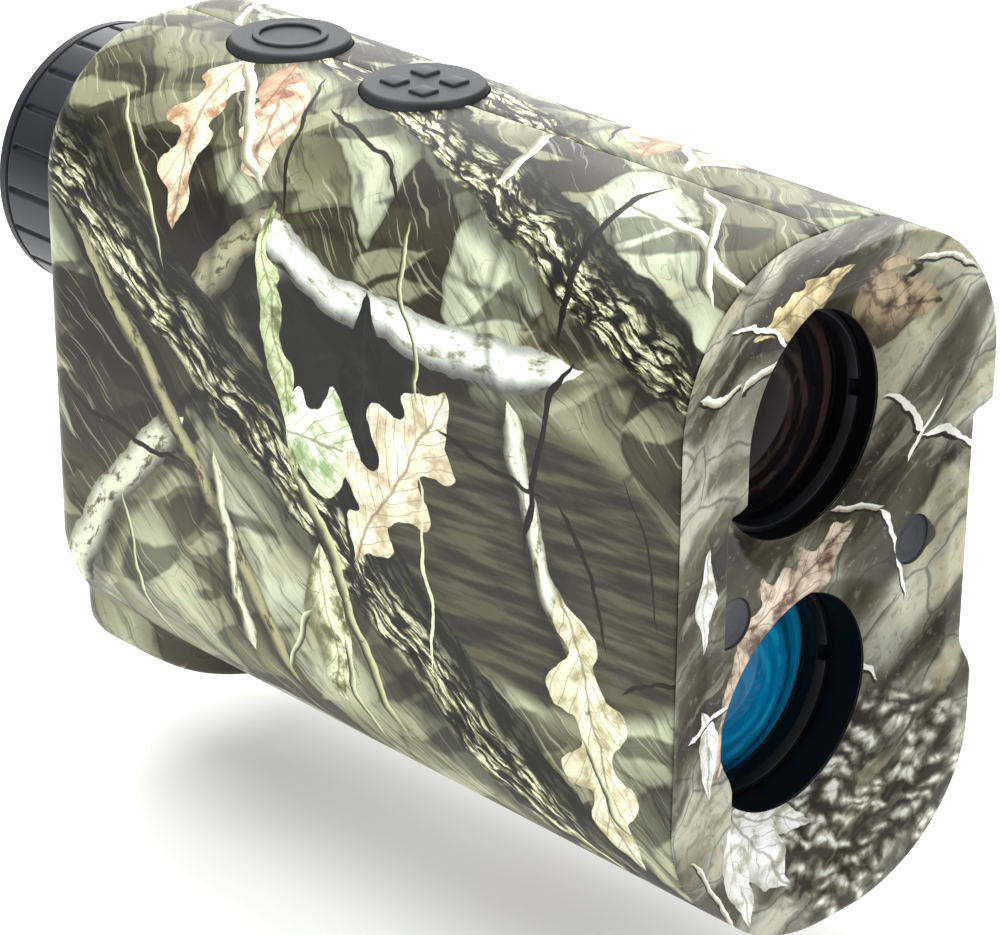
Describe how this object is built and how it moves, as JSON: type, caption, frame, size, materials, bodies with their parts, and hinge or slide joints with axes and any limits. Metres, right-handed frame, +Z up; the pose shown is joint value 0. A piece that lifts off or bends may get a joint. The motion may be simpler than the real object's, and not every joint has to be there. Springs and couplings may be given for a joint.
{
  "type": "laser rangefinder",
  "caption": "Compact monocular laser rangefinder: two-shell body, stacked lens openings in a stepped bezel, two top keys, focusing eyepiece and screw-in battery cap.",
  "frame": {"origin": "centre of the tripod thread on the underside, on the body's centre plane", "axes": "+Z up, -Y the way the lenses look, +X the right side seen from the front"},
  "size_m": [0.039, 0.1134, 0.0743],
  "materials": {
    "camo_print": null,
    "black_plastic": "fine semi-matt moulded black",
    "ring_plastic": "semi-gloss black with blue cast",
    "key_rubber": "matt charcoal silicone rubber",
    "seal_rubber": "black nitrile",
    "clear_glass": "polished and coated",
    "teal_glass": "polished with a blue-green coating",
    "steel": "zinc plated",
    "brass": "turned",
    "circuit_board": "green solder mask",
    "chip_epoxy": "moulded epoxy",
    "flex_film": "polyimide film",
    "wire_sleeve": "insulated wire",
    "filter_glass": "deep red interference filter",
    "chassis_alloy": "black anodised casting",
    "battery_wrap": "shrink sleeve"
  },
  "bodies": {
    "housing": {"left_shell": "camo_print", "right_shell": "camo_print", "front_bezel": "camo_print", "bezel_plugs": "black_plastic", "bezel_screws": "steel", "shell_screws": "steel", "switch_board": "circuit_board", "tact_switches": "steel", "flex_cable": "flex_film", "objective_cell": "black_plastic", "objective_crown": "clear_glass", "objective_flint": "clear_glass", "objective_retainer": "black_plastic", "objective_seal": "seal_rubber", "receiver_cell": "black_plastic", "receiver_lens": "teal_glass", "receiver_retainer": "black_plastic", "receiver_seal": "seal_rubber", "optical_chassis": "chassis_alloy", "prism_holder": "black_plastic", "front_prism": "clear_glass", "roof_prism": "clear_glass", "prism_clip": "steel", "laser_diode": "brass", "laser_lens": "clear_glass", "laser_board": "circuit_board", "detector": "brass", "band_filter": "filter_glass", "receiver_board": "circuit_board", "receiver_shield": "steel", "lcd_panel": "clear_glass", "lcd_frame": "black_plastic", "eyepiece_barrel": "black_plastic", "eyepiece_seal": "seal_rubber", "main_board": "circuit_board", "board_chips": "chip_epoxy", "wiring": "wire_sleeve", "battery_tube": "black_plastic", "battery_spring": "steel", "tripod_bush": "brass", "lanyard_bar": "steel"},
    "power_key": {"power_button": "key_rubber"},
    "mode_key": {"mode_button": "key_rubber"},
    "focus_ring": {"diopter_ring": "ring_plastic", "eyecup": "key_rubber"},
    "eyepiece_carrier": {"eyepiece_cell": "black_plastic", "field_lens": "clear_glass", "eye_lens": "clear_glass", "eyepiece_retainer": "black_plastic", "focus_pins": "steel"},
    "battery_carrier": {"battery": "battery_wrap", "cap_contact": "brass"},
    "battery_door": {"battery_cap": "camo_print", "cap_seal": "seal_rubber", "cap_tab_pin": "steel"},
    "door_tab": {"cap_tab": "key_rubber"}
  },
  "joints": [
    {"name": "power_button_press", "type": "slide", "parent": "housing", "child": "power_key", "axis": [0, 0, -1], "range_m": [0, 0.0006], "stiffness_N_per_m": 900, "springref_m": -0.0004},
    {"name": "mode_button_press", "type": "slide", "parent": "housing", "child": "mode_key", "axis": [0, 0, -1], "range_m": [0, 0.0006], "stiffness_N_per_m": 900, "springref_m": -0.0004},
    {"name": "diopter_turn", "type": "hinge", "parent": "housing", "child": "focus_ring", "pos_m": [0, 0.06, 0.0512], "axis": [0, 1, 0], "range_deg": [-135, 135]},
    {"name": "eyepiece_focus", "type": "slide", "parent": "housing", "child": "eyepiece_carrier", "axis": [0, 1, 0], "range_m": [-0.00203, 0.00203]},
    {"name": "battery_cap_turn", "type": "hinge", "parent": "battery_carrier", "child": "battery_door", "pos_m": [0, 0.044, -0.002], "axis": [0, 0, 1], "range_deg": [0, 1080]},
    {"name": "battery_cap_travel", "type": "slide", "parent": "housing", "child": "battery_carrier", "axis": [0, 0, -1], "range_m": [0, 0.0045]},
    {"name": "cap_tab_lift", "type": "hinge", "parent": "battery_door", "child": "door_tab", "pos_m": [0, 0.0446, -0.00055], "axis": [-1, 0, 0], "range_deg": [0, 90]}
  ],
  "couplings": [
    {"joint": "eyepiece_focus", "follows": "diopter_turn", "m_per_rad": 0.00085944},
    {"joint": "battery_cap_turn", "follows": "battery_cap_travel", "rad_per_m": 4188.8}
  ]
}
